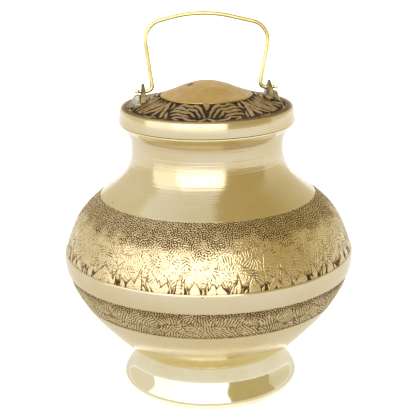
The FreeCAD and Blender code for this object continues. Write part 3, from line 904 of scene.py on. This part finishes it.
def glow(name):
    """Plain light in the sheet's own tints."""
    s = Surface(name)
    tint = s.node("ShaderNodeAttribute", attribute_name="tint").outputs["Color"]
    emission = s.node("ShaderNodeEmission", {"Color": tint}).outputs[0]
    s.tree.links.new(emission, s.tree.nodes["Material Output"].inputs["Surface"])
    return s.material


def card(name, azimuths, corner, stops):
    """A curved sheet in the studio, seen only in reflections.

    stops lists (place, tint) along the sheet's second direction; corner(azimuth, place) gives its points.
    """
    places = [place for place, tint in stops]
    even = np.linspace(0, 1, CARD_STEPS + 1)
    across = np.radians(azimuths[0] + (azimuths[1] - azimuths[0]) * even)
    along = places[0] + (places[-1] - places[0]) * even
    row = CARD_STEPS + 1
    faces = [
        (i * row + j, (i + 1) * row + j, (i + 1) * row + j + 1, i * row + j + 1)
        for i in range(CARD_STEPS) for j in range(CARD_STEPS)
    ]
    mesh = bpy.data.meshes.new(name)
    mesh.from_pydata([corner(azimuth, place) for azimuth in across for place in along], [], faces)
    tints = np.stack([np.interp(along, places, [tint[k] for place, tint in stops]) for k in range(3)], 1)
    tints = np.tile(np.hstack([tints, np.ones((row, 1))]), (row, 1))
    layer = mesh.attributes.new("tint", "FLOAT_COLOR", "POINT")
    layer.data.foreach_set("color", tints.astype(np.float32).ravel())
    mesh.materials.append(glow(name))
    sheet = bpy.data.objects.new(name, mesh)
    bpy.context.scene.collection.objects.link(sheet)
    sheet.visible_camera = False
    sheet.visible_shadow = False
    sheet.visible_diffuse = False


def sky_card(name, azimuths, stops):
    """Part of a large sphere round the pot; places are elevations in degrees."""
    card(name, azimuths, lambda a, e: facing(a, math.radians(e), STUDIO_RADIUS), stops)


def floor_card(name, azimuths, stops):
    """Part of a flat ring just above the floor; places are distances from the pot's axis."""
    base = Vector((0, 0, TABLE_HEIGHT))
    card(name, azimuths, lambda a, r: facing(a, 0, r, base), stops)


def stage_lights():
    """Plain studio: softboxes at the left and in front, a tan wall at the right, pale walls, and a table that
    is darker and warmer near the pot as painted shade.
    """
    def grey(level):
        return (level, level, level)

    tan, pale = (0.6, 0.5, 0.25), (0.9, 0.85, 0.7)
    sky_card("softbox_left", (-85, -45), ((-3, grey(1.6)), (35, grey(1.6)), (50, grey(1.1))))
    sky_card("softbox_front", (-45, 25), ((-3, grey(1.6)), (10, grey(2.5)), (35, grey(2.5)), (55, grey(1.1))))
    sky_card("tan_wall", (25, 90), ((-3, tan), (50, tan)))
    sky_card("tan_ceiling", (25, 150), ((50, tan), (85, tan)))
    sky_card("pale_wall_right", (90, 155), ((-3, pale), (50, tan)))
    sky_card("pale_wall_left", (-155, -85), ((-3, pale), (50, pale)))
    # Close to the pot the table card is darker and warmer: painted shade of the pot on the table, seen in the
    # metal.
    floor_card("table", (-180, 180), ((0.05, pale), (0.2, grey(1.0)), (1.5, grey(1.2))))


def make_floor():
    mesh = bpy.data.meshes.new("floor")
    corners = [(x * FLOOR_SIZE, y * FLOOR_SIZE, 0) for x, y in ((-1, -1), (1, -1), (1, 1), (-1, 1))]
    mesh.from_pydata(corners, [], [(0, 1, 2, 3)])
    s = Surface(
        "pale_floor", Roughness=0.9, Specular_IOR_Level=0.1,
        Emission_Color=(1, 1, 1, 1), Emission_Strength=0.5,
    )
    s.finish(Base_Color=s.mix(s.noise(3.0), (0.90, 0.90, 0.90, 1), (0.92, 0.92, 0.92, 1)))
    mesh.materials.append(s.material)
    floor = bpy.data.objects.new("floor", mesh)
    bpy.context.scene.collection.objects.link(floor)


def make_world():
    """Even white surroundings, a little darker and warmer overhead."""
    world = bpy.data.worlds.new("studio")
    bpy.context.scene.world = world
    world.use_nodes = True
    tree = world.node_tree
    where = tree.nodes.new("ShaderNodeTexCoord")
    split = tree.nodes.new("ShaderNodeSeparateXYZ")
    ramp = tree.nodes.new("ShaderNodeValToRGB")
    tree.links.new(where.outputs["Generated"], split.inputs[0])
    tree.links.new(split.outputs["Z"], ramp.inputs[0])
    ramp.color_ramp.elements[0].position = 0.75
    ramp.color_ramp.elements[0].color = (0.95, 0.95, 0.95, 1)
    ramp.color_ramp.elements[1].position = 1.0
    ramp.color_ramp.elements[1].color = (0.8, 0.8, 0.7, 1)
    background = tree.nodes["Background"]
    tree.links.new(ramp.outputs[0], background.inputs["Color"])
    background.inputs["Strength"].default_value = 1.1


def make_light(name, azimuth, elevation, distance, size, power):
    data = bpy.data.lights.new(name, "AREA")
    data.shape = "DISK"
    data.size = size
    data.energy = power
    data.color = (0.92, 0.96, 1.0)
    light = bpy.data.objects.new(name, data)
    bpy.context.scene.collection.objects.link(light)
    light.location = facing(math.radians(azimuth), math.radians(elevation), distance)
    light.rotation_euler = (AIM - light.location).to_track_quat("-Z", "Y").to_euler()
    light.visible_glossy = False


def make_camera():
    data = bpy.data.cameras.new("camera")
    data.sensor_width = SENSOR
    data.lens = LENS
    camera = bpy.data.objects.new("camera", data)
    bpy.context.scene.collection.objects.link(camera)
    place = facing(0, ELEVATION, DISTANCE)
    turn = (AIM - place).to_track_quat("-Z", "Y").to_matrix().to_4x4()
    roll = Matrix.Rotation(ROLL, 4, "Z")
    shift = Matrix.Translation(Vector((SIDE_SHIFT, 0, 0)))
    camera.matrix_world = Matrix.Translation(place) @ turn @ shift @ roll
    bpy.context.scene.camera = camera


stage_lights()
make_floor()
make_world()
make_light("overhead_softbox", -20, 80, 2.4, 3.0, 26)
make_camera()
bpy.context.scene.view_settings.view_transform = "Standard"
